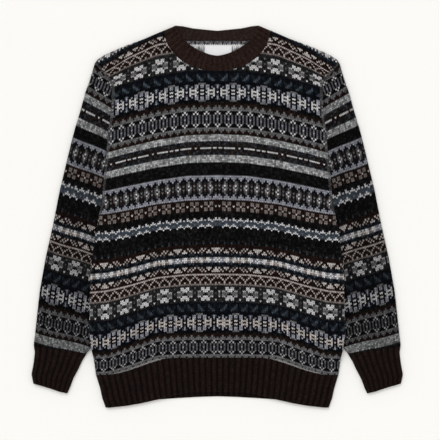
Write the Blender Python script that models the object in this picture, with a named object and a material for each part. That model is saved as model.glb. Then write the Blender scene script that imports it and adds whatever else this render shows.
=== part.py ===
"""A fair isle jumper laid flat: a Blender model of its sewn pieces, one closed solid each.

The jumper lies on its back on z = 0, with +Y towards the neck and x = 0 down the middle of the front.
Every piece is a knitted wall. Laid out, a jumper is two layers of that wall, one on the other, which meet in a
round fold at the edges. Each piece is half of such a fold, or the whole ring of it:

  upper half   front_panel, hem_rib_front
  lower half   back_panel, hem_rib_back
  whole ring   sleeve_left, sleeve_right, cuff_left, cuff_right, neckband

The inner part of each sleeve is tucked under the body, which rises over it. All sizes are in metres.
"""

import math

import bmesh
import bpy
from mathutils import Vector

# Driving sizes
WALL = 0.0026  # stranded knitting, two yarns thick
LAYER_GAP = 0.0016  # air between the two layers
SEAM_GAP = 0.0003  # between neighbouring pieces
SLANTED_SEAM_GAP = 0.00036  # the same, measured straight up where the back neck's seam slants
INNER_RADIUS = LAYER_GAP / 2  # of a folded edge
OUTER_RADIUS = INNER_RADIUS + WALL  # half the height of the flat jumper

RIB_VALLEY = 0.0017  # wall between two ribs
RIB_RISE = 0.0014  # how far a rib stands out of the valley
RIB_PROFILE = ((0.13, 0.0), (0.29, 1.0), (0.71, 1.0), (0.87, 0.0))  # share of the pitch, share of the rise
HEM_RIBS = 40  # across the front
CUFF_RIBS = 8  # across the upper side
NECK_RIBS = 26  # across the front half of the band

NECK_HALF_WIDTH = 0.0973  # at the shoulder, where the neck seam starts
NECK_TOP_Y = 0.3440
NECK_DEPTH = 0.0757  # of the front neck seam, a half ellipse
BAND_EDGE_HALF_WIDTH = 0.0775
BAND_EDGE_TOP_Y = 0.3524
BAND_EDGE_DEPTH = 0.0564
BAND_EDGE_POWER = 1.6  # a superellipse: 2 is round, 1 is a V
HEM_SEAM_MIDDLE_Y = -0.2607
HEM_SEAM_DROP = 0.0318  # the welt's seam is this much lower at the sides
HEM_SEAM_LEVEL_TO = 0.0750  # and falls between these two half widths
HEM_SEAM_LOW_FROM = 0.2080
LABEL_WIDTH = 0.0500
LABEL_HEIGHT = 0.0340
LABEL_THICKNESS = 0.0009
LABEL_TOP_Y = 0.3180

TUCK_LIFT = 2 * OUTER_RADIUS + 0.0010  # how far the body rises over a tucked sleeve
TUCK_RAMP = 0.0260  # the rise takes this much of the width
TUCK_MARGIN = 0.0220  # and ends this far before the sleeve's edge
TUCK_TOP_Y = -0.0240  # above this the body comes down again, to the underarm
TUCK_BOTTOM_Y = -0.2480  # and below this, beside the cuff
TUCK_END_SLOPE = 1.4

# Plan outlines, right half, as rows of x and y
BODY_SIDE = (  # armhole from shoulder tip to underarm, then the side fold down to the welt
    (0.2261, 0.2825), (0.2170, 0.2729), (0.2072, 0.2618), (0.1945, 0.2440), (0.1945, 0.2018), (0.1978, 0.1785),
    (0.2012, 0.1600), (0.2046, 0.1138), (0.2090, 0.0750), (0.2134, 0.0231), (0.2187, 0.0028), (0.2200, -0.0133),
    (0.2252, -0.0353), (0.2284, -0.0638), (0.2328, -0.0910), (0.2344, -0.1371), (0.2348, -0.1684),
    (0.2361, -0.2192), (0.2322, -0.2433), (0.2283, -0.2594), (0.2239, -0.2925),
)
HEM_SIDE = ((0.2239, -0.2925), (0.2163, -0.3171), (0.2124, -0.3354), (0.2066, -0.3515))
SHOULDER = ((0.0973, 0.3440), (0.1354, 0.3276), (0.1737, 0.3136), (0.2072, 0.2990), (0.2214, 0.2895), (0.2261, 0.2825))
BACK_NECK = ((0.0, 0.3247), (0.0560, 0.3247), (0.0800, 0.3330), (0.0973, 0.3440))
BACK_BAND_EDGE = ((0.0, 0.3421), (0.0450, 0.3467), (0.0640, 0.3509), (0.0775, 0.3524))
FRONT_HEM = ((0.0, -0.3228), (0.0555, -0.3240), (0.1110, -0.3372), (0.1400, -0.3439), (0.1665, -0.3485),
             (0.2000, -0.3520), (0.2066, -0.3515))
BACK_HEM = ((0.0, -0.3312), (0.0359, -0.3324), (0.0759, -0.3347), (0.1080, -0.3371), (0.1400, -0.3439),
            (0.1665, -0.3485), (0.2000, -0.3520), (0.2066, -0.3515))
SLEEVE_OUTER = ((0.2261, 0.2825), (0.2364, 0.2486), (0.2438, 0.2285), (0.2523, 0.1965), (0.2618, 0.1658),
                (0.2683, 0.1415), (0.2906, 0.0490), (0.3023, -0.0107), (0.3167, -0.0757), (0.3276, -0.1360),
                (0.3361, -0.2139), (0.3389, -0.2385))
SLEEVE_INNER = (  # from the underarm down beside the body, tucked under it, and out again to the cuff
    (0.2187, 0.0028), (0.2210, -0.0133), (0.2244, -0.0270), (0.2190, -0.0400), (0.2050, -0.0550), (0.1890, -0.0710),
    (0.1780, -0.0950), (0.1760, -0.1250), (0.1830, -0.1560), (0.1960, -0.1850), (0.2110, -0.2120),
    (0.2322, -0.2420), (0.2412, -0.2529),
)
CUFF_OUTER = ((0.3389, -0.2385), (0.3370, -0.2503), (0.3393, -0.2710), (0.3432, -0.2917), (0.3400, -0.3075))
CUFF_INNER = ((0.2412, -0.2529), (0.2492, -0.2658), (0.2570, -0.2827), (0.2660, -0.2995), (0.2725, -0.3170),
              (0.2765, -0.3256))
CUFF_END = ((0.3400, -0.3075), (0.3101, -0.3160), (0.2906, -0.3228), (0.2765, -0.3256))

# Grid lines
NECK_COLUMNS = 7  # across half of the neck, at even angles of its ellipse
SHOULDER_COLUMNS_X = (0.1180, 0.1390, 0.1580, 0.1740, 0.1890, 0.2030, 0.2150)
BODY_ROWS_Y = (-0.2640, -0.2560, -0.2480, -0.2350, -0.2150, -0.1850, -0.1450, -0.1100, -0.0850, -0.0670, -0.0520,
               -0.0380, -0.0240, -0.0150, -0.0060)  # along the side fold
ARMHOLE_ROWS_Y = (0.0028, 0.0150, 0.0750, 0.1600, 0.2018, 0.2440, 0.2618, 0.2729)
EDGE_PULL_FROM = 0.45  # share of the half width from which the columns lean with the side
SLEEVE_ROWS = 14
HEM_ROWS = 2
CUFF_ROWS = 4
BAND_ROWS = 2
CUFF_UNDER_COLUMNS = 5  # across the plain lower layer
BAND_UNDER_COLUMNS = 14
TUBE_WIDTH_STEPS = 8  # straight steps that measure a tube's width
FOLD_TURNS = tuple(math.radians(a) for a in (0.0, 30.0, 60.0, 90.0))  # from a fold's outermost line to the flat
SMOOTH_ANGLE = math.radians(40)


def smooth(share):
    share = min(max(share, 0.0), 1.0)
    return share * share * (3 - 2 * share)


def straight(rows, key, value):
    """Reads rows of x and y by straight lines: the other coordinate, where coordinate number key is value."""
    rows = sorted(rows, key=lambda row: row[key])
    value = min(max(value, rows[0][key]), rows[-1][key])
    for low, high in zip(rows, rows[1:]):
        if value <= high[key]:
            share = (value - low[key]) / (high[key] - low[key])
            return low[1 - key] + (high[1 - key] - low[1 - key]) * share
    return rows[-1][1 - key]


def lengths_along(points):
    total = [0.0]
    for a, b in zip(points, points[1:]):
        total.append(total[-1] + (Vector(b) - Vector(a)).length)
    return total


def line(rows, rounded=True):
    """A function from 0..1 to a point at that share of the line's length. Rounded, it bends smoothly through its rows."""
    points = [Vector(row) for row in rows]
    ends = [points[0] * 2 - points[1], *points, points[-1] * 2 - points[-2]]
    total = lengths_along(points)

    def at(share):
        place = min(max(share, 0.0), 1.0) * total[-1]
        k = next(i for i in range(1, len(total)) if place <= total[i] + 1e-9)
        t = (place - total[k - 1]) / (total[k] - total[k - 1])
        before, start, end, after = ends[k - 1 : k + 3]
        if not rounded:
            return start.lerp(end, t)
        # Catmull-Rom
        into = (end - before) / 2 * (t**3 - 2 * t**2 + t)
        out_of = (after - start) / 2 * (t**3 - t**2)
        return start * (2 * t**3 - 3 * t**2 + 1) + end * (3 * t**2 - 2 * t**3) + into + out_of

    return at


def both_sides(rows):
    """Rows from the middle to the right, made into rows from the left to the right."""
    return tuple((-x, y) for x, y in reversed(rows[1:])) + tuple(rows)


def half_oval(half_width, depth, top, power, steps):
    """Rows from the middle of a scoop to its right end: a half ellipse, or a superellipse where power isn't 2."""
    angles = [math.pi / 2 * k / steps for k in range(steps + 1)]
    return tuple(
        (half_width * math.sin(a) ** (2 / power), top - depth * abs(math.cos(a)) ** (2 / power)) for a in angles
    )


def tuck_lift(x, y):
    """How far the body is off the surface at x, y, where it lies over a tucked sleeve."""
    edge = straight(SLEEVE_INNER, 1, y)
    edge += max(0.0, y - TUCK_TOP_Y, TUCK_BOTTOM_Y - y) * TUCK_END_SLOPE
    return TUCK_LIFT * smooth((abs(x) - edge + TUCK_MARGIN + TUCK_RAMP) / TUCK_RAMP)


def body_column_shares():
    """Where the columns of a body panel stand, as shares of its half width, from the middle to the right."""
    neck = half_oval(NECK_HALF_WIDTH, NECK_DEPTH, NECK_TOP_Y, 2, NECK_COLUMNS)
    return [x / SHOULDER[-1][0] for x in (*[row[0] for row in neck], *SHOULDER_COLUMNS_X)]


def body_x(share, half_width):
    """x of a body column at this share of the half width. By the neck it keeps to a straight wale, by the side to the edge."""
    at_side = smooth((abs(share) - EDGE_PULL_FROM) / (1 - EDGE_PULL_FROM))
    tip_x = SHOULDER[-1][0]
    return share * (tip_x + (half_width - tip_x) * at_side)


def back_neck_seam():
    """The back neck's seam at the panel's columns: rows of x and y, from the middle to the right."""
    columns = half_oval(NECK_HALF_WIDTH, NECK_DEPTH, NECK_TOP_Y, 2, NECK_COLUMNS)
    return tuple((x, straight(BACK_NECK, 0, x)) for x, _ in columns)


def hem_seam():
    """The line on which a body panel meets its welt: rows of x and y, from the middle to the right."""
    rows = []
    for share in (*body_column_shares(), 1.0):
        x = body_x(share, HEM_SIDE[0][0])
        fall = (x - HEM_SEAM_LEVEL_TO) / (HEM_SEAM_LOW_FROM - HEM_SEAM_LEVEL_TO)
        rows.append((x, HEM_SEAM_MIDDLE_Y - HEM_SEAM_DROP * smooth(fall)))
    return rows


def make_material(name, colour, roughness):
    material = bpy.data.materials.new(name)
    material.use_nodes = True
    shader = material.node_tree.nodes["Principled BSDF"]
    shader.inputs["Base Color"].default_value = (*colour, 1.0)
    shader.inputs["Roughness"].default_value = roughness
    shader.inputs["Metallic"].default_value = 0.0
    return material


def make_wall(name, material, grid, ring):
    """A closed wall from rows of (outer, inner) points. A ring's last column joins its first."""
    mesh = bmesh.new()
    corners = [[[mesh.verts.new(p) for p in pair] for pair in row] for row in grid]
    last_row, width = len(grid) - 1, len(grid[0])
    columns = [(j, (j + 1) % width) for j in range(width if ring else width - 1)]
    for side in (0, 1):
        for row, above in zip(corners, corners[1:]):
            for j, k in columns:
                mesh.faces.new((row[j][side], row[k][side], above[k][side], above[j][side]))
    for i in (0, last_row):
        for j, k in columns:
            mesh.faces.new((*corners[i][j], *reversed(corners[i][k])))
    if not ring:
        for j in (0, width - 1):
            for i in range(last_row):
                mesh.faces.new((*corners[i][j], *reversed(corners[i + 1][j])))
    bmesh.ops.recalc_face_normals(mesh, faces=mesh.faces)
    data = bpy.data.meshes.new(name)
    mesh.to_mesh(data)
    mesh.free()
    data.shade_smooth()
    data.set_sharp_from_angle(angle=SMOOTH_ANGLE)
    data.materials.append(material)
    piece = bpy.data.objects.new(name, data)
    bpy.context.scene.collection.objects.link(piece)
    return piece


def fold(turn, folded=1.0):
    """How a wall turns over a folded edge: for the outer face, then the inner, (distance in from the edge, height).

    The height counts from the middle of the two layers. folded runs from 1 to 0, an edge cut square to meet a seam.
    """
    outer = Vector((OUTER_RADIUS * (1 - math.cos(turn)), OUTER_RADIUS * math.sin(turn)))
    inner = Vector((OUTER_RADIUS - INNER_RADIUS * math.cos(turn), INNER_RADIUS * math.sin(turn)))
    outer_cut = Vector((outer.x, OUTER_RADIUS))
    inner_cut = Vector((outer.x, INNER_RADIUS))
    return outer_cut.lerp(outer, folded), inner_cut.lerp(inner, folded)


def layer_columns(flat_columns):
    """Columns of one layer from fold to fold, as (turn, side, share of the flat part, share of the rib's rise)."""
    left = [(turn, -1, 0.0, 0.0) for turn in FOLD_TURNS]
    flat = [(FOLD_TURNS[-1], 0, share, rise) for share, rise in flat_columns]
    right = [(turn, 1, 1.0, 0.0) for turn in reversed(FOLD_TURNS)]
    return left + flat + right


def rib_columns(count):
    """Flat columns that hold this many ribs, with a valley at both ends."""
    return [((k + place) / count, rise) for k in range(count) for place, rise in RIB_PROFILE]


def plain_columns(count):
    return [(k / count, 0.0) for k in range(1, count)]


def between_ribs(outer_height, turn, rise):
    """A ribbed outer face: full thickness at the fold, and on the flat as thin as the valleys plus the rib."""
    return outer_height - (WALL - RIB_VALLEY - RIB_RISE * rise) * math.sin(turn)


def body_vector(half, x, y, height):
    return Vector((x, y, OUTER_RADIUS + tuck_lift(x, y) + half * max(height, SEAM_GAP / 2)))


def make_panel(name, material, half, neck):
    """A body panel of stranded knitting. Rows run from the welt to neck and shoulder, half is 1 for the upper layer."""
    top = (*neck, *SHOULDER[1:])
    tip_x, tip_y = SHOULDER[-1]
    low_x, low_y = HEM_SIDE[0]
    seam = hem_seam()
    right = body_column_shares()
    shares = [-share for share in reversed(right[1:])] + right
    rows = [(y, None) for y in (low_y, *BODY_ROWS_Y, *ARMHOLE_ROWS_Y)]
    rows += [(tip_y, turn) for turn in reversed(FOLD_TURNS)]
    underarm, above = ARMHOLE_ROWS_Y[:2]
    grid = []
    for side_y, top_turn in rows:
        climb = (side_y - low_y) / (tip_y - low_y)
        side_folds = smooth((above - side_y) / (above - underarm))
        grid.append([])
        for turn, side, share, _ in layer_columns([(share, 0.0) for share in shares]):
            share = side or share
            shoulder = abs(share) * tip_x > NECK_HALF_WIDTH - SEAM_GAP
            at_side = fold(turn, side_folds)
            at_top = fold(FOLD_TURNS[-1] if top_turn is None else top_turn, float(shoulder))
            pair = []
            for (side_in, side_height), (top_in, top_height) in zip(at_side, at_top):
                if top_turn is None:
                    top_in = 0.0
                half_width = straight(BODY_SIDE, 1, side_y - top_in * abs(side))
                across = share - side * side_in / half_width
                low = straight(seam, 0, body_x(abs(across), low_x))
                y = low + (straight(top, 0, body_x(abs(across), tip_x)) - low) * climb - top_in
                pair.append(body_vector(half, body_x(across, half_width), y, min(side_height, top_height)))
            grid[-1].append(pair)
    return make_wall(name, material, grid, ring=False)


def make_welt(name, material, half, bottom, flat_columns):
    """One side of the hem's ribbed welt, from its seam down to the edge."""
    low_x, low_y = bottom[-1]
    top_x, top_y = HEM_SIDE[0]
    seam = hem_seam()
    grid = []
    for i in range(HEM_ROWS + 1):
        drop = i / HEM_ROWS
        half_width = straight(HEM_SIDE, 1, top_y + (low_y - top_y) * drop)
        flat_width = half_width - OUTER_RADIUS
        grid.append([])
        for turn, side, share, rise in layer_columns(flat_columns):
            pair = []
            for face, (side_in, height) in enumerate(fold(turn)):
                x = side * (half_width - side_in) if side else (2 * share - 1) * flat_width
                high = straight(seam, 0, abs(x) / half_width * top_x) - SEAM_GAP
                y = high + (straight(bottom, 0, abs(x) / half_width * low_x) - high) * drop
                if face == 0 and half > 0:
                    height = between_ribs(height, turn, rise)
                pair.append(body_vector(half, x, y, height))
            grid[-1].append(pair)
    return make_wall(name, material, grid, ring=False)


def make_tube(name, material, rows, upper, lower, upper_columns, lower_columns, with_ribs):
    """A flat tube, open at both ends. upper and lower give the plan point of a layer at (share across, share along)."""
    grid = []
    for i in range(rows + 1):
        along = i / rows
        ring = []
        for half, plan, flat_columns in ((1, upper, upper_columns), (-1, lower, lower_columns)):
            steps = [plan(k / TUBE_WIDTH_STEPS, along) for k in range(TUBE_WIDTH_STEPS + 1)]
            width = lengths_along(steps)[-1]
            layer = []
            for turn, side, share, rise in layer_columns(flat_columns):
                if half > 0 and turn == 0.0:
                    continue  # the lower layer has the fold's outermost line
                pair = []
                for face, (side_in, height) in enumerate(fold(turn)):
                    edge = side_in / width
                    inset = OUTER_RADIUS / width
                    across = {-1: edge, 1: 1 - edge, 0: inset + (1 - 2 * inset) * share}[side]
                    if face == 0 and half > 0 and with_ribs:
                        height = between_ribs(height, turn, rise)
                    x, y = plan(across, along)
                    pair.append(Vector((x, y, OUTER_RADIUS + half * height)))
                layer.append(pair)
            ring += layer if half > 0 else layer[::-1]
        grid.append(ring)
    return make_wall(name, material, grid, ring=True)


def patch(start, end, left, right):
    """A plan from four lines (a Coons patch): start and end run across, left and right run along."""

    def at(across, along):
        corners = (
            (start(0) * (1 - across) + start(1) * across) * (1 - along)
            + (end(0) * (1 - across) + end(1) * across) * along
        )
        edges = start(across) * (1 - along) + end(across) * along + left(along) * (1 - across) + right(along) * across
        return edges - corners

    return at


def strip(start, end):
    """A plan between two lines."""
    return lambda across, along: start(across).lerp(end(across), along)


def moved(rows, dx, dy):
    return tuple((x + dx, y + dy) for x, y in rows)


def mirrored_plan(plan, side):
    return lambda across, along: Vector((side * plan(across, along).x, plan(across, along).y))


def make_sleeve(name, material, side):
    """One sleeve, from the armhole's seam to the cuff's. Its columns meet the body's rows at the armhole."""
    seam_y = (SHOULDER[-1][1], *reversed(ARMHOLE_ROWS_Y))
    armhole = [(straight(BODY_SIDE, 1, y) + SEAM_GAP, y) for y in seam_y]
    total = lengths_along(armhole)
    inset = OUTER_RADIUS / total[-1]
    columns = [((length / total[-1] - inset) / (1 - 2 * inset), 0.0) for length in total[1:-1]]
    columns = [c for c in columns if 0.0 < c[0] < 1.0]
    outer = (armhole[0], *SLEEVE_OUTER[1:])
    inner = (armhole[-1], *SLEEVE_INNER[1:])
    plan = patch(line(armhole, rounded=False), line((outer[-1], inner[-1])), line(outer), line(inner))
    plan = mirrored_plan(plan, side)
    return make_tube(name, material, SLEEVE_ROWS, plan, plan, columns, columns, with_ribs=False)


def make_cuff(name, material, side):
    """One ribbed cuff, knitted on to the end of the sleeve."""
    outer = (moved(CUFF_OUTER[:1], 0, -SEAM_GAP)[0], *CUFF_OUTER[1:])
    inner = (moved(CUFF_INNER[:1], 0, -SEAM_GAP)[0], *CUFF_INNER[1:])
    plan = patch(line((outer[0], inner[0])), line(CUFF_END), line(outer), line(inner))
    plan = mirrored_plan(plan, side)
    return make_tube(name, material, CUFF_ROWS, plan, plan, rib_columns(CUFF_RIBS), plain_columns(CUFF_UNDER_COLUMNS), with_ribs=True)


def make_neckband(name, material):
    """The ribbed band, a ring: its front half lies over its back half, and both end in a fold at the shoulders."""
    seam = half_oval(NECK_HALF_WIDTH - SEAM_GAP, NECK_DEPTH - SEAM_GAP, NECK_TOP_Y, 2, NECK_COLUMNS)
    edge = half_oval(BAND_EDGE_HALF_WIDTH, BAND_EDGE_DEPTH, BAND_EDGE_TOP_Y, BAND_EDGE_POWER, NECK_COLUMNS)
    back_seam = (*moved(back_neck_seam()[:-1], 0, SLANTED_SEAM_GAP), seam[-1])
    front = strip(line(both_sides(seam), rounded=False), line(both_sides(edge)))
    back = strip(line(both_sides(back_seam), rounded=False), line(both_sides(BACK_BAND_EDGE)))
    return make_tube(name, material, BAND_ROWS, front, back, rib_columns(NECK_RIBS), plain_columns(BAND_UNDER_COLUMNS), with_ribs=True)


def make_label(name, material):
    """The blank woven label, sewn to the inside of the back panel under the neck seam."""
    mesh = bmesh.new()
    bmesh.ops.create_cube(mesh, size=1.0)
    bmesh.ops.scale(mesh, vec=(LABEL_WIDTH, LABEL_HEIGHT, LABEL_THICKNESS), verts=mesh.verts)
    data = bpy.data.meshes.new(name)
    mesh.to_mesh(data)
    mesh.free()
    data.materials.append(material)
    label = bpy.data.objects.new(name, data)
    label.location = (0.0, LABEL_TOP_Y - LABEL_HEIGHT / 2, WALL + SEAM_GAP + LABEL_THICKNESS / 2)
    bpy.context.scene.collection.objects.link(label)
    return label


for thing in list(bpy.data.objects):
    bpy.data.objects.remove(thing, do_unlink=True)

wool = make_material("stranded_wool", (0.060, 0.058, 0.062), 0.95)
rib_wool = make_material("rib_wool", (0.013, 0.008, 0.006), 0.95)
label_cloth = make_material("woven_label", (0.80, 0.79, 0.80), 0.80)

front_neck = half_oval(NECK_HALF_WIDTH, NECK_DEPTH, NECK_TOP_Y, 2, NECK_COLUMNS)
make_panel("front_panel", wool, 1, front_neck)
make_panel("back_panel", wool, -1, back_neck_seam())
make_welt("hem_rib_front", rib_wool, 1, FRONT_HEM, rib_columns(HEM_RIBS))
flat_half_width = HEM_SIDE[0][0] - OUTER_RADIUS
seam_columns = [(0.5 + x / 2 / flat_half_width, 0.0) for x, _ in both_sides(hem_seam()[:-1])]
make_welt("hem_rib_back", rib_wool, -1, BACK_HEM, seam_columns)
for side_name, side in (("left", -1), ("right", 1)):
    make_sleeve(f"sleeve_{side_name}", wool, side)
    make_cuff(f"cuff_{side_name}", rib_wool, side)
make_neckband("neckband", rib_wool)
make_label("label", label_cloth)
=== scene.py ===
"""The looks of a fair isle jumper that lies flat on its back, every piece knitted stitch by stitch."""

import math

import bpy
import numpy as np
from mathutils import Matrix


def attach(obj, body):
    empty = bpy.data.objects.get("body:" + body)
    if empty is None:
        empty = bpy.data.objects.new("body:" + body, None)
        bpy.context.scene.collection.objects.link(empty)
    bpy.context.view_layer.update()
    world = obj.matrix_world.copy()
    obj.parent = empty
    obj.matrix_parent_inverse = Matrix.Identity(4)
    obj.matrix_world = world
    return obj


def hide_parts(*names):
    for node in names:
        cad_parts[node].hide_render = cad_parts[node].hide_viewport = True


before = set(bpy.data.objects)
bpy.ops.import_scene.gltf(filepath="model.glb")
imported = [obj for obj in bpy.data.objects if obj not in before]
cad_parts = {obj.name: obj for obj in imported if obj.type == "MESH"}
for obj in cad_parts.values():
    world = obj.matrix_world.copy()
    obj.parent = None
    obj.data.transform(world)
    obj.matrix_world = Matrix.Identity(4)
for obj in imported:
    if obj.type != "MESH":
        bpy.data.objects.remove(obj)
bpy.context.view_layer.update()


# Front panel.
# The front of the body is one piece of stranded wool knitting, worked in rows of two yarns from the welt up to the
# shoulders. It is cut at the armholes and the neck, linked to its neighbours, and arches a little as it lies.

# Outline, right half: x and y in metres. It is the solid's outline.
HALF_HEIGHT = 0.0034  # half of the flat jumper: one wall and half the air between the layers
ARMHOLE_AND_SIDE = np.array([
    (0.2261, 0.2825), (0.2170, 0.2729), (0.2072, 0.2618), (0.1945, 0.2440), (0.1945, 0.2018), (0.1978, 0.1785),
    (0.2012, 0.1600), (0.2046, 0.1138), (0.2090, 0.0750), (0.2134, 0.0231), (0.2187, 0.0028), (0.2200, -0.0133),
    (0.2252, -0.0353), (0.2284, -0.0638), (0.2328, -0.0910), (0.2344, -0.1371), (0.2348, -0.1684),
    (0.2361, -0.2192), (0.2322, -0.2433), (0.2283, -0.2594), (0.2239, -0.2925),
])
SHOULDER = np.array([
    (0.0973, 0.3440), (0.1354, 0.3276), (0.1737, 0.3136), (0.2072, 0.2990), (0.2214, 0.2895), (0.2261, 0.2825),
])
NECK_HALF_WIDTH, NECK_TOP_Y, NECK_DEPTH = 0.0973, 0.3440, 0.0757  # a half ellipse
UNDERARM_Y, ARMHOLE_FROM_Y = 0.0028, 0.0150  # a fold below the first, a cut edge above the second
HEM_SEAM_Y, HEM_SEAM_DROP, HEM_LEVEL_TO_X, HEM_LOW_FROM_X = -0.2607, 0.0318, 0.0750, 0.2080

# The inner part of each sleeve is tucked under the body, which rises over it: how high, over how wide a ramp, and how
# far inside the sleeve's edge the ramp ends. Above and below the tucked part the ramp slopes away outwards.
TUCKED_SLEEVE_EDGE = np.array([
    (0.2187, 0.0028), (0.2210, -0.0133), (0.2244, -0.0270), (0.2190, -0.0400), (0.2050, -0.0550), (0.1890, -0.0710),
    (0.1780, -0.0950), (0.1760, -0.1250), (0.1830, -0.1560), (0.1960, -0.1850), (0.2110, -0.2120), (0.2322, -0.2420),
    (0.2412, -0.2529),
])
TUCK_LIFT, TUCK_RAMP, TUCK_MARGIN = 0.0078, 0.0260, 0.0220
TUCK_TOP_Y, TUCK_BOTTOM_Y, TUCK_END_SLOPE = -0.0240, -0.2480, 1.4


def smooth(share):
    share = np.clip(share, 0.0, 1.0)
    return share * share * (3 - 2 * share)


def x_at(outline, y):
    order = np.argsort(outline[:, 1])
    return np.interp(y, outline[order, 1], outline[order, 0])


def tuck_lift(x, y):
    edge = x_at(TUCKED_SLEEVE_EDGE, y)
    edge = edge + np.maximum(0.0, np.maximum(y - TUCK_TOP_Y, TUCK_BOTTOM_Y - y)) * TUCK_END_SLOPE
    return TUCK_LIFT * smooth((np.abs(x) - edge + TUCK_MARGIN + TUCK_RAMP) / TUCK_RAMP)


def hem_seam_y(x):
    return HEM_SEAM_Y - HEM_SEAM_DROP * smooth((np.abs(x) - HEM_LEVEL_TO_X) / (HEM_LOW_FROM_X - HEM_LEVEL_TO_X))


def front_top_y(x):
    across = np.clip(np.abs(x) / NECK_HALF_WIDTH, 0.0, 1.0)
    neck = NECK_TOP_Y - NECK_DEPTH * np.sqrt(1 - across**2)
    return np.where(across < 1.0, neck, np.interp(np.abs(x), SHOULDER[:, 0], SHOULDER[:, 1]))


# Yarns
def dyed(*parts):
    """A yarn's colour, given as it looks (red, green and blue up to 255), as the shader's linear values."""
    shares = [part / 255 for part in parts]
    return [((share + 0.055) / 1.055) ** 2.4 if share > 0.04045 else share / 12.92 for share in shares]


YARNS = {  # letter: colour, how uneven its heather is
    "k": (dyed(13, 12, 12), 1.0),  # black
    "j": (dyed(6, 7, 12), 0.50),  # blue black
    "n": (dyed(10, 12, 19), 0.55),  # navy
    "t": (dyed(23, 30, 34), 0.50),  # dark teal
    "e": (dyed(56, 63, 72), 0.30),  # slate
    "y": (dyed(68, 76, 86), 0.25),  # light slate
    "b": (dyed(30, 18, 13), 0.45),  # dark brown
    "r": (dyed(28, 15, 12), 0.45),  # red-brown
    "h": (dyed(35, 34, 35), 0.60),  # charcoal
    "g": (dyed(112, 111, 112), 0.24),  # grey
    "o": (dyed(99, 99, 105), 0.25),  # mid grey
    "p": (dyed(176, 174, 175), 0.20),  # pale grey
    "q": (dyed(88, 87, 89), 0.25),  # dim grey
    "s": (dyed(160, 161, 161), 0.50),  # light grey melange
    "u": (dyed(92, 100, 118), 0.25),  # blue grey
    "l": (dyed(153, 154, 163), 0.22),  # lavender grey
    "w": (dyed(218, 216, 216), 0.15),  # off-white
    "i": (dyed(236, 234, 233), 0.12),  # white
    "c": (dyed(198, 190, 185), 0.20),  # cream
    "a": (dyed(180, 169, 164), 0.20),  # taupe
    "d": (dyed(126, 116, 112), 0.22),  # dark taupe
}


def moved(rows, wales, joins=(0,)):
    """The rows with their repeat moved outwards by this many wales, the same to both sides."""
    return [f"{joins[i % len(joins)]}{row[-wales % len(row):]}{row[:-wales % len(row)]}" for i, row in enumerate(rows)]


# Colourwork. Each row is one repeat, top row first, and its first stitch is on the middle wale of the front. A row that
# starts with a number runs outwards from there, the same to both sides, but the left side goes on for that many wales
# past the middle before it meets the right.
TRIANGLES = ["cccrrrararrrrrararrrcc", "ccrrcrrararrrararrcrrc", "crrcccrrdrarardrrcccrr"]
WHITE = ["ilgliiggcigigicggiilgl", "liliiiaaiiccciiaaiiili", "illgildgicdadcigdligll"]
ZIGZAG = ["a", "abbbbb", "babbba", "bbabab", "bbbabb", "abbabb", "d"]
FLOWER_HALF = ["njjjjjjggggjjjjjj", "lejjjlljlljlljjje", "ljjljlljlljlljljj", "ujwjjwljjjjlwjjwj", "jjwwwwjjwwjjwwwwj"]
FLOWERS = FLOWER_HALF + ["wjwjjwwjjjjwwjjwj"] + FLOWER_HALF[::-1]
STARS = [
    "1hghhhwwhwwhh", "1hhhhhwwwwwhh", "1hhhpphwwwhpp", "1hqhgggqhqggg", "1hhhgggkkkggg", "1hhhpphwwwhpp",
    "1hhhhhwwwwwhh", "1hwhhhwwhwwhh", "h",
]
OVAL_HALF = ["wjjjjj", "jwjjjw", "ojgjgj", "ojojoj"]
OVALS = OVAL_HALF + ["ljojoj"] + OVAL_HALF[::-1]
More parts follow.
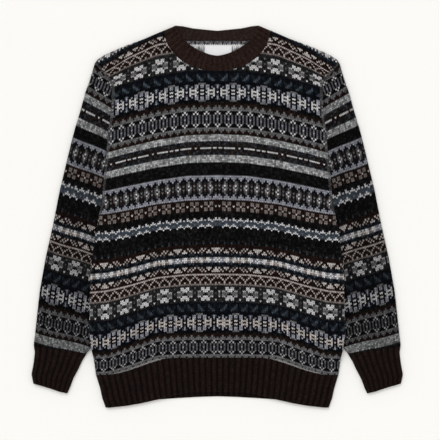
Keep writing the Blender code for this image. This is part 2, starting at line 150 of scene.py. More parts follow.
CHARTS = {
    "teal": ["tetnnnetennntetnnntett", "nntttnnnntetnnnntttnnn"],
    "teal three": ["eteetettetet", "tnttnntttntt", "nntttnnnttnn"],
    "white": moved(WHITE, 1),
    "white high": [
        "wwlwwwgdwwcccwwdgwwwlw", "wglwwwgdcwgdgwcdgwwwlg", "wggwwwggwwgwgwwggwwwgg", "hwhhwwhahwhwhwhahwwhhw",
    ],
    "triangles high": ["r"] + moved(TRIANGLES[::-1], 6) + ["r"],
    "triangles up": moved(TRIANGLES[::-1], 1, (0, 1, 2)) + ["r"],
    "triangles down": ["r"] + moved(TRIANGLES, 1, (2, 1, 0)),
    "zigzag": moved(ZIGZAG, 1),
    "zigzag high": moved(ZIGZAG, 4),
    "stars": ["h"] + STARS,
    "stars high": ["h", "h"] + [row[0] + row[-1] + row[1:-1] for row in STARS[:-1]] + ["h"],
    "patches": ["n", "0ntnnne", "0nttnee", "0nnteet", "0nneett", "n"],
    "patches high": ["n", "0nnnnnt", "0ntnnny", "0nttnyy", "0nntyyt", "0nnyytt", "n"],
    "flowers": FLOWERS,
    "flowers low": [row.replace("w", "c") for row in moved(FLOWERS, 2, (3,))],
    "teeth up": moved(["k", "b", "gbbb", "ggbg", "g"], 1),
    "teeth up low": moved(["k", "b", "gbbb", "ggbg", "g"], 3),
    "ovals": OVALS,
    "ovals low": [row.replace("o", "q").replace("w", "p") for row in moved(OVALS, 2)],
    "teeth down": ["g", "bggg", "bbgb", "b"],
    "teeth end": ["g", "ggbg"],
    "light grey": ["s", "s", "s", "s"],
    "dashes": [
        "nennnehhehhhhehhhehnnenn", "hhnhehhbhbhehbhhhbhehhhh", "hhbhhbebhhhbbhehbhhbhebh", "bbhbhhbbhbbhbhbbhbhbbbbh",
        "kwwbwwwwwwbbwbbwwwwwwbww",
        "bhbbhebhbbhbbhbbhebbhbbh", "hhbhebhhhbhhbehbhhbhehbh", "hhthehhbhbhehbhhhbhehthh", "tetnhhehhhhehhhhehhhhnet",
    ],
    "black": ["k"] * 6,
    "lattice": [
        "l", "0llln", "0nlnn", "0nhnhgh", "0bhbhgq", "0bgbqwo", "0hhhphg", "0bgbowq", "0bhbqgh", "0nhnhgh",
        "0nlnn", "0llln", "l",
    ],
    "blocks": ["b", "0bbbddbdd", "0bbbddbdd", "0bcbbbabb", "0bbbddbdd", "0bbbddbdd"],
    "black three": ["k"] * 3,
    "chevrons": [
        "0nwnnnwnnnwnn", "0wwwywwywywwy", "0yyywyyyyyyyw", "y", "0ygyyywyyywyy", "0yyyywwwywwwy", "0nnnwnnnwnnnw",
    ],
    "black nine": ["k"] * 6 + ["hkkk", "ekkk", "b"],
}
BANDS = (  # top edge on the middle wale, in millimetres, and chart
    (370.0, "teal"), (363.5, "white high"), (351.7, "teal three"), (342.9, "triangles high"), (327.2, "zigzag high"),
    (305.2, "stars high"),
    (269.2, "patches high"), (247.2, "flowers"), (212.8, "teeth up"), (195.5, "ovals"), (165.2, "teeth down"),
    (152.1, "light grey"), (139.9, "dashes"), (114.1, "light grey"), (100.6, "black"), (76.2, "lattice"),
    (31.6, "blocks"), (11.1, "black three"), (-1.5, "chevrons"), (-20.2, "black nine"), (-54.0, "triangles down"),
    (-67.0, "teal"), (-75.0, "white"), (-84.2, "teal"), (-93.0, "triangles up"), (-105.3, "zigzag"),
    (-126.7, "stars"), (-158.2, "patches"), (-178.2, "flowers low"), (-212.8, "teeth up low"), (-227.6, "ovals low"),
    (-253.8, "teeth end"), (-261.0, None),
)
KNIT_ROWS = [row for _, chart in BANDS[:-1] for row in CHARTS[chart]]
BAND_STARTS = np.cumsum([0] + [len(CHARTS[chart]) for _, chart in BANDS[:-1]])
BAND_TOPS = np.array([top for top, _ in BANDS]) / 1000

# How far a course has dropped below its height on the middle wale, in millimetres
DROP_AT_X = (0.0, 55.5, 111.0, 166.5, 203.5, 231.0)
DROPS = (  # height on the middle wale, then the drops
    (352.0, (0, 0.9, 10.0, 37.5, 59.4, 72.3)), (327.2, (0, 1.2, 8.5, 34.8, 58.5, 71.0)),
    (270.0, (0, 0.9, 9.0, 23.5, 36.0, 44.0)), (232.2, (0, 0.9, 9.3, 23.1, 33.3, 40.7)),
    (152.6, (0, 2.4, 11.1, 24.1, 34.6, 38.9)), (76.8, (0, 1.3, 9.3, 20.4, 28.7, 31.5)),
    (-4.6, (0, 2.8, 7.8, 20.4, 25.5, 25.9)),
    (-104.5, (0, 0.9, 6.5, 22.2, 30.5, 33.3)), (-195.2, (0, 0.4, 4.6, 23.1, 36.8, 37.0)),
    (-260.0, (0, 0.0, 2.2, 22.2, 32.2, 32.2)),
)
FINE_X = np.arange(0, 261)  # mm
BLUR_WIDTH = 27  # mm, odd
BLUR = np.hanning(BLUR_WIDTH) / np.hanning(BLUR_WIDTH).sum()
FINE_DROPS = np.array([
    np.convolve(np.pad(np.interp(FINE_X, DROP_AT_X, drops), BLUR_WIDTH // 2, mode="reflect"), BLUR, "valid")
    for _, drops in reversed(DROPS)
])
DROP_HEIGHTS = np.array([height for height, _ in reversed(DROPS)]) / 1000
WALE_HIGH, WALE_LOW = 0.00339, 0.00322  # between wales at the middle, at the top and at the bottom
WALE_LOW_TO_Y, WALE_RISE = -0.13, 0.28  # up to where it is low, and over what height it grows
WALE_SHRINK = 1.85e-6  # and each further wale is this much closer, squared
MIDDLE_WALE_X = 0.0008  # the middle wale lies a little off the middle


def course_y(height, x):
    """Where the course that crosses the middle at this height lies at x."""
    place = np.interp(height, DROP_HEIGHTS, np.arange(len(DROP_HEIGHTS)))
    low = np.clip(place.astype(int), 0, len(DROP_HEIGHTS) - 2)
    share = place - low
    across = np.clip(np.abs(x) * 1000, 0, FINE_X[-1] - 1)
    left = across.astype(int)
    part = across - left
    drops = [FINE_DROPS[i, left] * (1 - part) + FINE_DROPS[i, left + 1] * part for i in (low, low + 1)]
    return height - (drops[0] * (1 - share) + drops[1] * share) / 1000


def wale_x(wale, height):
    """x of a wale, counted from the middle, where a course crosses the middle at this height."""
    pitch = WALE_LOW + (WALE_HIGH - WALE_LOW) * smooth((height - WALE_LOW_TO_Y) / WALE_RISE)
    return MIDDLE_WALE_X + pitch * wale - WALE_SHRINK * wale * np.abs(wale)


# Stitches. Each is a V of two legs. A grid line runs along every wale's middle and between wales, and three lines
# along a course: the groove, the back of the yarn, and the next groove.
RIDGE, GROOVE = 0.00035, -0.00040  # from the cloth's mean surface
WALE_GROOVE = 0.00012
SLANT = 0.30  # of a course, up and down
# Painted shade and highlight, as factors on the yarn's colour: shade in the grooves between courses and between wales,
# a highlight on the back of the yarn
SHADE = {"groove": 0.35, "ridge": 1.15, "between wales": 0.60}


def stitch_grid(rows, wales, fine=True):
    """Courses (slanted into Vs), wales, relief and painted shade of a grid: this many rows, from the first wale to the
    last.

    Where nothing shows it is coarse, with no line along the back of the yarn.
    """
    lines = 2 if fine else 1
    down = np.arange(lines * rows + 1) / lines
    down, across = np.meshgrid(down, np.arange(2 * (wales[1] - wales[0] + 1) + 1) / 2, indexing="ij")
    on_wale = across % 1 == 0.5
    on_ridge = down % 1 == 0.5
    relief = np.where(on_ridge, RIDGE, GROOVE if fine else 0.0) - np.where(on_wale, 0.0, WALE_GROOVE)
    # painted highlight on the ridges, painted shade in the grooves and between wales
    shade = np.where(on_ridge, SHADE["ridge"], SHADE["groove"] if fine else SHADE["between wales"])
    shade = shade * np.where(on_wale, 1.0, SHADE["between wales"])
    return down + np.where(on_wale, SLANT, -SLANT), across + wales[0] - 0.5, relief, shade


UNEVEN_LIMITS = (-1.8, 1.4)  # how far a stitch may be darker or lighter than its yarn, in steps of its unevenness


def yarn_colours(rows, wales, seed, fine=True):
    """Each grid square's colour from rows of letters, made uneven stitch by stitch as heathered wool is."""
    uneven = np.random.default_rng(seed)
    across = np.arange(wales[0], wales[1] + 1)
    letters = []
    for row in rows:
        join, row = (int(row[0]), row[1:]) if row[0].isdigit() else (-len(across), row)
        letters.append([row[(wale if wale > join else -wale) % len(row)] for wale in across])
    dye = np.array([[YARNS[letter][0] for letter in row] for row in letters])
    spread = np.array([[YARNS[letter][1] for letter in row] for row in letters])
    dye = dye * np.exp(uneven.normal(0, 1, spread.shape).clip(*UNEVEN_LIMITS) * spread)[..., None]
    return np.repeat(np.repeat(dye, 2 if fine else 1, 0), 2, 1)


SEAM_WIDTH = 0.0045
SEAM_GREY, SEAM_FAINTEST = 0.6, 0.25  # share of the linking yarn in the colour, and its faintest speck


def speck_seam(dye, points):
    """The grey yarn that links the sleeves in shows as specks along the armholes."""
    middle = points[:-1, :-1, :2] / 2 + points[1:, 1:, :2] / 2
    x, y = middle[..., 0], middle[..., 1]
    near = (x_at(ARMHOLE_AND_SIDE, y) - np.abs(x) < SEAM_WIDTH) & (y > UNDERARM_Y)
    speck = np.random.default_rng(40).uniform(SEAM_FAINTEST, 1.0, dye.shape[:2])
    dye[near] = dye[near] * (1 - SEAM_GREY) + np.array(YARNS["g"][0]) * speck[near, None] * SEAM_GREY


def over_edge(along, edge, radius):
    """A cloth that runs out to an edge and turns down over it: distance out, height above the middle of the layers."""
    turn = np.clip((along - (edge - HALF_HEIGHT)) / HALF_HEIGHT, 0, math.pi / 2)
    return np.minimum(along, edge - HALF_HEIGHT) + radius * np.sin(turn), radius * np.cos(turn)


OVERRUN = HALF_HEIGHT / 2  # how far a grid goes on past an edge that it turns over


def body_points(half, top_y, neck_half_width, grid):
    """Places of a body panel's grid, and which are inside its outline. half is 1 for the front, -1 for the back."""
    course, wale, relief, _ = grid
    height = np.interp(course, BAND_STARTS, BAND_TOPS)
    x = wale_x(wale, height)
    y = course_y(height, x)
    side = np.sign(x)
    radius = HALF_HEIGHT + relief
    edge = x_at(ARMHOLE_AND_SIDE, y)
    top, hem = top_y(np.minimum(np.abs(x), edge)), hem_seam_y(x)
    at_shoulder = np.minimum(np.abs(x), edge) > neck_half_width
    below_armhole = y < ARMHOLE_FROM_Y
    inside = (y < top + np.where(at_shoulder, OVERRUN, 0)) & (y > hem)
    inside &= np.abs(x) < edge + np.where(below_armhole, OVERRUN, 0)
    turned_y, top_height = over_edge(y, top, radius)
    y = np.maximum(np.where(at_shoulder, turned_y, np.minimum(y, top)), hem)
    folded = smooth((ARMHOLE_FROM_Y - y) / (ARMHOLE_FROM_Y - UNDERARM_Y))
    edge = x_at(ARMHOLE_AND_SIDE, y)
    out, side_height = over_edge(np.abs(x), edge, radius)
    x = side * (np.minimum(np.abs(x), edge) * (1 - folded) + out * folded)
    side_height = radius * (1 - folded) + side_height * folded
    height = np.minimum(side_height, np.where(at_shoulder, top_height, radius))
    return np.stack([x, y, HALF_HEIGHT + tuck_lift(x, y) + half * height], -1), inside


def knit(name, patches, material):
    """A mesh of patches: points, which are inside, painted shade, colours, whether it faces up. Points that meet are
    joined.
    """
    corners, colours, points, start = [], [], [], 0
    for place, inside, shade, dye, faces_up in patches:
        rows, columns = inside.shape
        index = np.arange(rows * columns).reshape(rows, columns)
        quad = np.stack([index[1:, :-1], index[1:, 1:], index[:-1, 1:], index[:-1, :-1]], -1)
        if not faces_up:
            quad = quad[..., ::-1]
        keep = inside.ravel()[quad].any(-1)
        corners.append(quad[keep] + start)
        colours.append((dye[..., None, :] * shade.ravel()[quad][..., None])[keep])
        points.append(place.reshape(-1, 3))
        start += rows * columns
    corners, colours, points = np.concatenate(corners), np.concatenate(colours), np.concatenate(points)
    used, corners = np.unique(corners, return_inverse=True)
    points, joined = np.unique(np.round(points[used], 6), axis=0, return_inverse=True)
    corners = joined.ravel()[corners.reshape(-1, 4)]
    distinct = corners != np.roll(corners, -1, axis=1)
    whole = (distinct.sum(1) > 2) & (corners[:, 0] != corners[:, 2]) & (corners[:, 1] != corners[:, 3])
    corners, colours, distinct = corners[whole], colours[whole], distinct[whole]
    corners, colours, sizes = corners[distinct], colours[distinct], distinct.sum(1)
    data = bpy.data.meshes.new(name)
    data.vertices.add(len(points))
    data.vertices.foreach_set("co", points.astype(np.float32).ravel())
    data.loops.add(len(corners))
    data.loops.foreach_set("vertex_index", corners.astype(np.int32))
    data.polygons.add(len(sizes))
    data.polygons.foreach_set("loop_start", (np.cumsum(sizes) - sizes).astype(np.int32))
    tints = data.color_attributes.new("yarn", "FLOAT_COLOR", "CORNER")
    tints.data.foreach_set("color", np.concatenate([colours, np.ones((len(corners), 1))], 1).astype(np.float32).ravel())
    data.update(calc_edges=True)
    data.validate()
    data.shade_smooth()
    data.materials.append(material)
    piece = bpy.data.objects.new(name, data)
    bpy.context.scene.collection.objects.link(piece)
    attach(piece, "root")
    return piece


def set_inputs(node, values):
    for name, value in values.items():
        node.inputs[name].default_value = value


def wool(name, fuzz):
    """Spun wool: the yarn's colour, flecked, with loose fibres on its surface."""
    material = bpy.data.materials.new(name)
    material.use_nodes = True
    nodes, links = material.node_tree.nodes, material.node_tree.links
    shader = nodes["Principled BSDF"]
    set_inputs(shader, {
        "Roughness": 0.95, "Specular IOR Level": 0.04, "Sheen Weight": fuzz, "Sheen Roughness": 0.6,
    })
    yarn = nodes.new("ShaderNodeVertexColor")
    yarn.layer_name = "yarn"
    place = nodes.new("ShaderNodeTexCoord")
    flecks = nodes.new("ShaderNodeTexNoise")
    set_inputs(flecks, {"Scale": 900, "Detail": 2})
    fleck_range = nodes.new("ShaderNodeMapRange")
    set_inputs(fleck_range, {"From Min": 0.3, "From Max": 0.7, "To Min": 0.70, "To Max": 1.30})
    flecked = nodes.new("ShaderNodeMix")
    flecked.data_type = "RGBA"
    flecked.blend_type = "MULTIPLY"
    flecked.inputs["Factor"].default_value = 1.0
    fibres = nodes.new("ShaderNodeTexNoise")
    set_inputs(fibres, {"Scale": 2600, "Detail": 3})
    bump = nodes.new("ShaderNodeBump")
    set_inputs(bump, {"Strength": 0.5, "Distance": 0.0003})
    links.new(place.outputs["Object"], flecks.inputs["Vector"])
    links.new(place.outputs["Object"], fibres.inputs["Vector"])
    links.new(flecks.outputs["Fac"], fleck_range.inputs["Value"])
    links.new(yarn.outputs["Color"], flecked.inputs["A"])
    links.new(fleck_range.outputs["Result"], flecked.inputs["B"])
    links.new(flecked.outputs["Result"], shader.inputs["Base Color"])
    links.new(fibres.outputs["Fac"], bump.inputs["Height"])
    links.new(bump.outputs["Normal"], shader.inputs["Normal"])
    return material


stranded_wool = wool("stranded_wool", 0.02)
BODY_WALES = (-78, 78)
grid = stitch_grid(len(KNIT_ROWS), BODY_WALES)
places, inside = body_points(1, front_top_y, NECK_HALF_WIDTH, grid)
dye = yarn_colours(KNIT_ROWS, BODY_WALES, 11)
speck_seam(dye, places)
front = knit("front_panel_knit", [(places, inside, grid[3], dye, True)], stranded_wool)
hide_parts("front_panel")


# Back panel.
# The back is knitted as the front is, with the same bands, and reaches higher at the neck. The jumper lies on it, and
# its wrong side, where the yarns float behind the stitches, shows in the neck.
BACK_NECK = np.array([(0.0, 0.3247), (0.0560, 0.3247), (0.0800, 0.3330), (0.0973, 0.3440)])
CLOTH_HEIGHT = 0.0026  # of the upper face of the cloth in the neck
FLOAT_ROWS = ["geghg", "nggho", "w", "wwl", "s", "sgs", "g", "s", "gss", "s", "s", "g", "s", "g", "s"]
FLOATS_TOP_Y, FLOAT_PITCH, FLOAT_WALES = 0.3247, 0.0034, (-29, 29)
FLOAT_SHADE = 0.75  # the darkest painted shade: floats lie side by side, with no deep grooves


def back_top_y(x):
    neck = np.interp(np.abs(x), BACK_NECK[:, 0], BACK_NECK[:, 1])
    return np.where(np.abs(x) < NECK_HALF_WIDTH, neck, np.interp(np.abs(x), SHOULDER[:, 0], SHOULDER[:, 1]))


grid = list(stitch_grid(len(KNIT_ROWS), BODY_WALES, fine=False))
grid[2] = grid[2] - grid[2].max()  # no stitch stands out below, where the jumper rests
places, inside = body_points(-1, back_top_y, NECK_HALF_WIDTH, grid)
dye = yarn_colours(KNIT_ROWS, BODY_WALES, 12, fine=False)
speck_seam(dye, places)
patches = [(places, inside, grid[3], dye, False)]

down, wale, relief, shade = stitch_grid(len(FLOAT_ROWS), FLOAT_WALES)
down = np.round(down * 2) / 2  # the wrong side shows level bars, and no Vs
x, y = wale * WALE_HIGH, FLOATS_TOP_Y - down * FLOAT_PITCH
y = np.minimum(y, back_top_y(x))
places = np.stack([x, y, CLOTH_HEIGHT + relief], -1)
shade = np.maximum(shade, FLOAT_SHADE)
patches.append((places, np.abs(x) < NECK_HALF_WIDTH, shade, yarn_colours(FLOAT_ROWS, FLOAT_WALES, 13), True))
back = knit("back_panel_knit", patches, stranded_wool)
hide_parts("back_panel")


# Sleeves.
# Each sleeve is a flat tube of the same knitting, seamed under the arm, with its bands at its own heights. Its courses
# slope down towards the body, because it is set in at an angle, and its inner part is tucked under the body.
SLEEVE_OUTER = np.array([
    (0.2261, 0.2825), (0.2364, 0.2486), (0.2438, 0.2285), (0.2523, 0.1965), (0.2618, 0.1658), (0.2683, 0.1415),
    (0.2906, 0.0490), (0.3023, -0.0107), (0.3167, -0.0757), (0.3276, -0.1360), (0.3361, -0.2139), (0.3389, -0.2385),
])
SLEEVE_MIDDLE = np.array([  # of what shows
    (0.2224, 0.2821), (0.2159, 0.2440), (0.2251, 0.1970), (0.2355, 0.1415), (0.2510, 0.0490), (0.2588, 0.0028),
    (0.2708, -0.0638), (0.2810, -0.1360), (0.2847, -0.1915), (0.2858, -0.2377),
])
CUFF_SEAM = np.array([(0.2412, -0.2529), (0.3389, -0.2385)])
SEAM_GAP = 0.0003  # between neighbours
SLEEVE_FROM_ROW, LOW_FLOWERS_FROM, LOW_FLOWERS_TO, SLEEVE_TO_ROW = 43, 167, 178, 192  # rows of the body
SLEEVE_ROWS = (
    KNIT_ROWS[SLEEVE_FROM_ROW:LOW_FLOWERS_FROM] + FLOWERS + KNIT_ROWS[LOW_FLOWERS_TO:SLEEVE_TO_ROW]
    + CHARTS["teeth down"] + ["s"] * 5 + ["h", "k", "k"]
)
SLEEVE_COURSES = np.array([  # course, its height on the middle in millimetres, its slope there
    (43, 302.0, 0.62), (49, 282.1, 0.60), (59.5, 244.0, 0.55), (76.5, 186.7, 0.42), (88, 145.2, 0.34),
    (97.5, 110.1, 0.30), (107, 74.0, 0.28), (116.5, 41.6, 0.26), (131, -11.5, 0.24), (142, -50.0, 0.23),
    (156, -91.6, 0.23), (164, -119.3, 0.23), (172.5, -150.8, 0.22), (187.5, -201.7, 0.19), (198, -234.0, 0.16),
    (204, -254.0, 0.148),
])
SLEEVE_CURVE = 1.9  # slope gained for each metre towards the body, halved
SLEEVE_PITCH = ((-0.24, 0.02, 0.30), (0.00292, 0.00315, 0.00325))  # between wales, from the cuff up
SLEEVE_PAINTED_SHADE = (0.80, 0.52)  # at the shoulder and the cuff: painted shade, the sleeves darker than the body and darker towards the cuff
SLEEVE_WALES = (-52, 51)  # the first half on the lower layer


def sleeve_points(side, grid):
    """Places of a sleeve's grid, and which are inside. Wales count from the outer fold, below 0 on the lower layer."""
    course, wale, relief, _ = grid
    course = course + SLEEVE_FROM_ROW
    middle_y = np.interp(course, SLEEVE_COURSES[:, 0], SLEEVE_COURSES[:, 1]) / 1000
    slope = np.interp(course, SLEEVE_COURSES[:, 0], SLEEVE_COURSES[:, 2])
    along = (wale + 0.5) * np.interp(middle_y, *SLEEVE_PITCH)
    upper = along >= 0
    quarter = HALF_HEIGHT * math.pi / 2
    turn = np.clip((quarter - np.abs(along)) / HALF_HEIGHT, 0, math.pi / 2)
    radius = HALF_HEIGHT + np.where(upper, relief, relief - RIDGE)
    inwards = HALF_HEIGHT - radius * np.sin(turn) + np.maximum(0, np.abs(along) - quarter)
    y = middle_y
    for _ in range(4):  # each turn brings x and y closer to each other's line
        x = x_at(SLEEVE_OUTER, y) - inwards
        to_body = x_at(SLEEVE_MIDDLE, y) - x
        y = middle_y - slope * to_body - SLEEVE_CURVE * to_body * np.abs(to_body)
    at_armhole = y > UNDERARM_Y
    inner = np.where(at_armhole, x_at(ARMHOLE_AND_SIDE, y) + SEAM_GAP, x_at(TUCKED_SLEEVE_EDGE, y))
    seam_y = np.interp(x, CUFF_SEAM[:, 0], CUFF_SEAM[:, 1])
    inside = (x > inner) & (y > seam_y) & (y < SLEEVE_OUTER[0, 1])
    y = np.clip(y, seam_y, SLEEVE_OUTER[0, 1])
    from_inner = np.where(at_armhole, HALF_HEIGHT, np.clip(x - inner, 0, HALF_HEIGHT)) / HALF_HEIGHT
    height = np.minimum(radius * np.cos(turn), radius * np.sqrt(1 - (1 - from_inner) ** 2))
    x = np.maximum(x, inner)
    return np.stack([side * x, y, HALF_HEIGHT + np.where(upper, 1, -1) * height], -1), inside


for side, name in ((-1, "left"), (1, "right")):
    grid = stitch_grid(len(SLEEVE_ROWS), SLEEVE_WALES)
    places, inside = sleeve_points(side, grid)
    dye = yarn_colours(SLEEVE_ROWS, SLEEVE_WALES, 20 + side)
    # painted shade: darker from the shoulder towards the cuff
    dye *= np.linspace(*SLEEVE_PAINTED_SHADE, len(dye))[:, None, None]
    sleeve = knit(f"sleeve_{name}_knit", [(places, inside, grid[3], dye, side < 0)], stranded_wool)
    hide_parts(f"sleeve_{name}")


# Hem welt.
# The hem is a separate-looking band of two-and-two rib in plain dark brown wool, knitted down from the body. Its back
# half hangs a little lower, so that its inside shows under the front edge.
HEM_SIDE = np.array([(0.2239, -0.2925), (0.2163, -0.3171), (0.2124, -0.3354), (0.2066, -0.3515)])
FRONT_HEM = np.array([
    (0.0, -0.3228), (0.0555, -0.3240), (0.1110, -0.3372), (0.1400, -0.3439), (0.1665, -0.3485), (0.2000, -0.3520),
    (0.2066, -0.3515),
])
BACK_HEM = np.array([
    (0.0, -0.3312), (0.0359, -0.3324), (0.0759, -0.3347), (0.1080, -0.3371), (0.1400, -0.3439), (0.1665, -0.3485),
    (0.2000, -0.3520), (0.2066, -0.3515),
])
RIB_WALES = 4  # two that stand out and two that sink
RIB_SHAPE = ((0.0, 0.52, 1.16, 2.84, 3.48, 4.0), (0.0, 0.0, 1.0, 1.0, 0.0, 0.0))  # wale, share of the rise
RIB_LOW, RIB_RISE = 0.0025, 0.0014  # outer face above the middle of the layers
INNER_FACE = 0.0008  # above the middle of the layers
EDGE_BULGE, EDGE_LINES, EDGE_SHADE = 0.0012, 4, 0.9  # the rounded free edge, with painted shade on its turn
STEP_ALONG = 0.01  # to find which way the edge faces
HEM_RIBS, HEM_COURSES = 40, 21


def rib_layer(plan, half, ribs, courses, seed, fine=True, yarn="m", depth=0.65):
    """A patch that goes all round one layer of ribbing: outer face, free edge, inner face and seam.

    plan gives x and y at (share across, share along from the seam to the free edge). half is 1 for the upper layer.
    """
    wales = (0, ribs * RIB_WALES - 1)
    down, wale, relief, shade = stitch_grid(courses, wales, fine)
    down[[0, -1]] = [[0], [courses]]
    turns = np.linspace(0, math.pi, EDGE_LINES + 2)[1:-1, None] + 0 * wale[:EDGE_LINES]
    last = [np.repeat(grid[-1:], EDGE_LINES, 0) for grid in (down, wale, relief, shade)]
    around = [down, last[0], down[::-1], down[:1]]
    down = np.concatenate(around)
    wale = np.concatenate([wale, last[1], wale, wale[:1]])
    turn = np.concatenate([0 * around[0], turns, 0 * around[2] + math.pi, 0 * around[3]])
    relief = np.concatenate([relief, last[2], relief[::-1], relief[:1]])
    # painted shade round the free edge
    shade = np.concatenate([shade, last[3] * 0 + EDGE_SHADE, shade[::-1], shade[:1]])

    across, along = (wale + 0.5) / (wales[1] + 1), down / courses
    x, y = plan(across, along)
    further = plan(across, along + STEP_ALONG)
    step = np.hypot(further[0] - x, further[1] - y)
    x = x + (further[0] - x) / step * EDGE_BULGE * np.sin(turn)
    y = y + (further[1] - y) / step * EDGE_BULGE * np.sin(turn)
    rise = np.interp((wale + 0.5) % RIB_WALES, *RIB_SHAPE)
    outside = relief + (RIB_LOW + RIB_RISE * rise if half > 0 else HALF_HEIGHT - RIDGE - (1 - rise) * RIB_RISE / 2)
    inside = INNER_FACE + (1 - rise) * RIB_RISE / 3 - relief
    # painted shade: the sinking wales are darker than the crests, by depth
    shade = shade * (1 - depth + (depth + 0.1) * rise)
    turned = (1 - np.cos(turn)) / 2
    ends = [np.array(plan(end, 0.5)) for end in (0.0, 1.0)]
    from_side = np.clip(np.minimum(across, 1 - across) * np.hypot(*(ends[1] - ends[0])) / HALF_HEIGHT, 0, 1)
    height = (outside * (1 - turned) + inside * turned) * np.sqrt(1 - (1 - from_side) ** 2)
    lines = courses * (2 if fine else 1)
    squares_round = 2 * lines + EDGE_LINES + 2
    dye = yarn_colours([yarn] * ((lines + 1) // 2 * 2 + 6), wales, seed)[:squares_round]
    right_handed = (ends[1] - ends[0])[0] * (plan(0.5, 1.0)[1] - plan(0.5, 0.0)[1]) < 0
    places = np.stack([x, y, HALF_HEIGHT + half * height], -1)
    return places, np.ones(x.shape, bool), shade, dye, right_handed == (half > 0)


def welt_plan(bottom):
    def welt(across, along):
        share = 2 * across - 1
        side_y = HEM_SIDE[0, 1] + (HEM_SIDE[-1, 1] - HEM_SIDE[0, 1]) * along
        high = hem_seam_y(share * HEM_SIDE[0, 0]) - SEAM_GAP
        low = np.interp(np.abs(share) * bottom[-1, 0], bottom[:, 0], bottom[:, 1])
        return share * x_at(HEM_SIDE, side_y), high + (low - high) * along
    return welt


YARNS["m"] = (dyed(34, 22, 18), 0.30)  # dark brown, plain
rib_wool = wool("rib_wool", 0.03)
hem_front = knit("hem_front_knit", [rib_layer(welt_plan(FRONT_HEM), 1, HEM_RIBS, HEM_COURSES, 31)], rib_wool)
hem_back = knit("hem_back_knit", [rib_layer(welt_plan(BACK_HEM), -1, HEM_RIBS, HEM_COURSES, 34, fine=False)], rib_wool)
for hem, node, under, deepest, area in (
    (hem_front, "hem_rib_front", hem_back.name, 0.062, 0.0279), (hem_back, "hem_rib_back", "floor", 0.071, 0.0294),
):
    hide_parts(node)


# Cuffs.
# Each cuff is a tube of the same rib, knitted on to the sleeve, narrower than it, and open at the hand.
CUFF_OUTER = np.array([(0.3389, -0.2385), (0.3370, -0.2503), (0.3393, -0.2710), (0.3432, -0.2917), (0.3400, -0.3075)])
CUFF_INNER = np.array([
    (0.2412, -0.2529), (0.2492, -0.2658), (0.2570, -0.2827), (0.2660, -0.2995), (0.2725, -0.3170), (0.2765, -0.3256),
])
CUFF_END = np.array([(0.3400, -0.3075), (0.3101, -0.3160), (0.2906, -0.3228), (0.2765, -0.3256)])
CUFF_RIBS, CUFF_COURSES = 8, 24


def read_along(outline, share):
    """The point at this share of an outline's length. Past its end the outline goes straight on."""
    lengths = np.concatenate([[0], np.cumsum(np.hypot(*np.diff(outline, axis=0).T))])
    share = np.asarray(share) * lengths[-1]
    beyond = np.maximum(share - lengths[-1], 0)
    last = (outline[-1] - outline[-2]) / (lengths[-1] - lengths[-2])
    return [np.interp(share, lengths, outline[:, axis]) + beyond * last[axis] for axis in (0, 1)]


def cuff_plan(side):
    """The cuff's plan, which fills the space between its four edges."""
    def cuff(across, along):
        seam, end = read_along(CUFF_SEAM[::-1], across), read_along(CUFF_END, across)
        outer, inner = read_along(CUFF_OUTER, along), read_along(CUFF_INNER, along)
        x, y = [
            seam[i] * (1 - along) + end[i] * along + outer[i] * (1 - across) + inner[i] * across
            - (CUFF_OUTER[0, i] * (1 - across) + CUFF_INNER[0, i] * across) * (1 - along)
            - (CUFF_OUTER[-1, i] * (1 - across) + CUFF_INNER[-1, i] * across) * along
            for i in (0, 1)
        ]
        return side * x, y - SEAM_GAP * (1 - along)
    return cuff


for side, name in ((-1, "left"), (1, "right")):
    layers = [
        rib_layer(cuff_plan(side), 1, CUFF_RIBS, CUFF_COURSES, 40),
        rib_layer(cuff_plan(side), -1, CUFF_RIBS, CUFF_COURSES, 43, fine=False),
    ]
    cuff_piece = knit(f"cuff_{name}_knit", layers, rib_wool)
    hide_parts(f"cuff_{name}")


# Neckband.
# The crew neck is a ring of the same rib, linked to the neck edge. Its front half scoops down over the back half,
# whose inside shows behind it.
BAND_EDGE_HALF_WIDTH, BAND_EDGE_TOP_Y, BAND_EDGE_DEPTH, BAND_EDGE_POWER = 0.0775, 0.3524, 0.0564, 1.6
BACK_BAND_EDGE = np.array([(0.0, 0.3421), (0.0450, 0.3467), (0.0640, 0.3509), (0.0775, 0.3524)])
NECK_RIBS, BACK_NECK_RIBS, NECK_COURSES = 26, 20, 10


def scoop(half_width, depth, top, power):
    """The front of a neck line from the left to the right: a half ellipse, or with a lower power nearer a V."""
    angle = np.linspace(-math.pi / 2, math.pi / 2, 121)
    x = half_width * np.sign(angle) * np.abs(np.sin(angle)) ** (2 / power)
    return np.stack([x, top - depth * np.cos(angle).clip(0) ** (2 / power)], -1)


def both_sides(outline):
    return np.concatenate([outline[:0:-1] * (-1, 1), outline])


def front_band(across, along):
    seam = read_along(scoop(NECK_HALF_WIDTH, NECK_DEPTH, NECK_TOP_Y, 2), across)
    edge = read_along(scoop(BAND_EDGE_HALF_WIDTH, BAND_EDGE_DEPTH, BAND_EDGE_TOP_Y, BAND_EDGE_POWER), across)
    return [seam[i] + (edge[i] - seam[i]) * along for i in (0, 1)]


def back_band(across, along):
    seam, edge = read_along(both_sides(BACK_NECK), across), read_along(both_sides(BACK_BAND_EDGE), across)
    return [seam[i] + (edge[i] - seam[i]) * along for i in (0, 1)]


YARNS["v"] = (dyed(48, 33, 28), 0.30)  # the same brown, where the front of the band catches the light
YARNS["x"] = (dyed(52, 40, 36), 0.30)  # and on its back half
layers = [
    rib_layer(front_band, 1, NECK_RIBS, NECK_COURSES, 50, yarn="v", depth=0.15),
    rib_layer(back_band, -1, BACK_NECK_RIBS, NECK_COURSES, 53, yarn="x", depth=0.12),
]
neckband = knit("neckband_knit", layers, rib_wool)
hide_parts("neckband")


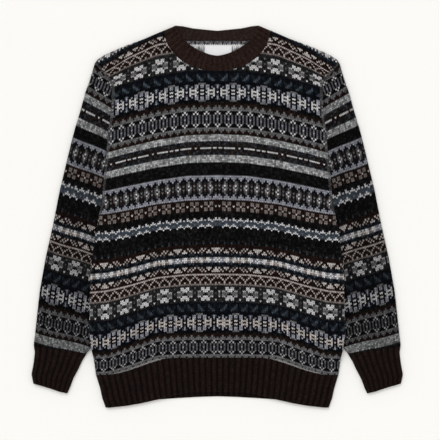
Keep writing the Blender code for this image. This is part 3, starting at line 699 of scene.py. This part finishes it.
# Label.
# A blank tape of white satin weave, its two ends folded under, is sewn down inside the back neck.
LABEL_SIZE, LABEL_X, LABEL_TOP_Y, LABEL_Z = (0.050, 0.034), 0.0020, 0.3165, (0.0029, 0.0038)
LABEL_FOLD, LABEL_STITCH = 0.0030, 0.0021  # from each end to the edge that is folded under; one stitch
# The step at a folded end and how softly it falls, the tape's slight waves, and the dent and width of the sewing
FOLD_STEP, FOLD_BLUR, WAVE, STITCH_DENT, THREAD = 0.0003, 0.0004, 0.00012, 0.00022, 0.0003
EDGE_DROP, EDGE_ROUND, LABEL_EDGE_SHADE_REACH = 0.0002, 0.0002, 0.0006  # the tape's rounded edge, and how far in from it the painted shade reaches
YARNS["z"] = (dyed(226, 225, 226), 0.015)  # white tape
across, down = np.meshgrid(np.linspace(-0.5, 0.5, 101), np.linspace(0, 1, 61))
x, y = across * LABEL_SIZE[0] + LABEL_X, LABEL_TOP_Y - down * LABEL_SIZE[1]
from_end = LABEL_SIZE[0] / 2 - np.abs(across) * LABEL_SIZE[0]
from_edge = np.minimum(from_end, np.minimum(down, 1 - down) * LABEL_SIZE[1])
folded = smooth((LABEL_FOLD + FOLD_BLUR - from_end) / (2 * FOLD_BLUR))
sewn = np.exp(-(((from_end - LABEL_FOLD / 2) / THREAD) ** 2)) * (np.sin(y / LABEL_STITCH * 2 * math.pi) > -0.3)
top = LABEL_Z[1] - FOLD_STEP * (1 - folded) + WAVE * np.sin(across * 9) * np.sin(down * 5 + 1) - STITCH_DENT * sewn
top = np.where(from_edge > 0, top, top.min() - 0.0001) - EDGE_DROP * np.exp(-from_edge / EDGE_ROUND)
under = np.where(from_edge > 0, LABEL_Z[0], top)
crease = np.exp(-(((from_end - LABEL_FOLD) / THREAD) ** 2))
# painted shade in the sewing's dents, along the crease of each fold, and along the rounded edge
shade = 1 - 0.10 * sewn - 0.05 * crease - 0.06 * np.exp(-(from_edge / LABEL_EDGE_SHADE_REACH))
dye = yarn_colours(["z"] * 30, (0, 49), 61)  # two squares a side to each stitch
whole = np.ones(x.shape, bool)
patches = [(np.stack([x, y, z], -1), whole, shade, dye, faces_up) for z, faces_up in ((top, True), (under, False))]

satin = bpy.data.materials.new("woven_label")
satin.use_nodes = True
nodes, links = satin.node_tree.nodes, satin.node_tree.links
shader = nodes["Principled BSDF"]
set_inputs(shader, {"Roughness": 0.45, "Specular IOR Level": 0.3, "Sheen Weight": 0.15})
thread = nodes.new("ShaderNodeVertexColor")
thread.layer_name = "yarn"
place = nodes.new("ShaderNodeTexCoord")
weft = nodes.new("ShaderNodeTexWave")
weft.bands_direction = "Y"
set_inputs(weft, {"Scale": 900, "Distortion": 0.4})
warp = nodes.new("ShaderNodeTexNoise")
set_inputs(warp, {"Scale": 1500})
both = nodes.new("ShaderNodeMath")
both.operation = "ADD"
bump = nodes.new("ShaderNodeBump")
set_inputs(bump, {"Strength": 0.25, "Distance": 0.0001})
links.new(place.outputs["Object"], weft.inputs["Vector"])
links.new(place.outputs["Object"], warp.inputs["Vector"])
links.new(weft.outputs["Fac"], both.inputs[0])
links.new(warp.outputs["Fac"], both.inputs[1])
links.new(both.outputs["Value"], bump.inputs["Height"])
links.new(bump.outputs["Normal"], shader.inputs["Normal"])
links.new(thread.outputs["Color"], shader.inputs["Base Color"])
label = knit("label_tape", patches, satin)
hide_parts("label")


# Floor, light and camera.
# The jumper lies on warm white paper under an even sky, with one soft lamp beyond its neck and a little to the left.
# The camera looks straight down.
FLOOR_REACH = 3  # to each side
CAMERA_X, CAMERA_Y, CAMERA_HEIGHT, VIEW_WIDTH, SENSOR_WIDTH = 0.0052, -0.0065, 3.0, 0.814, 36
floor_mesh = bpy.data.meshes.new("floor")
floor_corners = [(x * FLOOR_REACH, y * FLOOR_REACH, 0) for x, y in ((-1, -1), (1, -1), (1, 1), (-1, 1))]
floor_mesh.from_pydata(floor_corners, [], [(0, 1, 2, 3)])
floor = bpy.data.objects.new("floor", floor_mesh)
bpy.context.scene.collection.objects.link(floor)
paper = bpy.data.materials.new("paper")
paper.use_nodes = True
set_inputs(paper.node_tree.nodes["Principled BSDF"], {"Base Color": (0.918, 0.905, 0.872, 1), "Roughness": 0.9})
floor_mesh.materials.append(paper)

world = bpy.data.worlds.new("studio")
world.use_nodes = True
set_inputs(world.node_tree.nodes["Background"], {"Color": (1, 1, 1, 1), "Strength": 0.86})
bpy.context.scene.world = world

lamp_data = bpy.data.lights.new("softbox", "SUN")
lamp_data.angle = math.radians(30)
lamp_data.energy = 0.85
lamp = bpy.data.objects.new("softbox", lamp_data)
lamp.location = (-0.6, 1.3, 1.7)
lamp.rotation_euler = (math.radians(-38), math.radians(-17), 0)
bpy.context.scene.collection.objects.link(lamp)

camera_data = bpy.data.cameras.new("camera")
camera_data.sensor_width = SENSOR_WIDTH
camera_data.lens = SENSOR_WIDTH * CAMERA_HEIGHT / VIEW_WIDTH
camera_data.clip_end = 20
camera = bpy.data.objects.new("camera", camera_data)
camera.location = (CAMERA_X, CAMERA_Y, CAMERA_HEIGHT)
bpy.context.scene.collection.objects.link(camera)
bpy.context.scene.camera = camera
bpy.context.scene.view_settings.view_transform = "Standard"
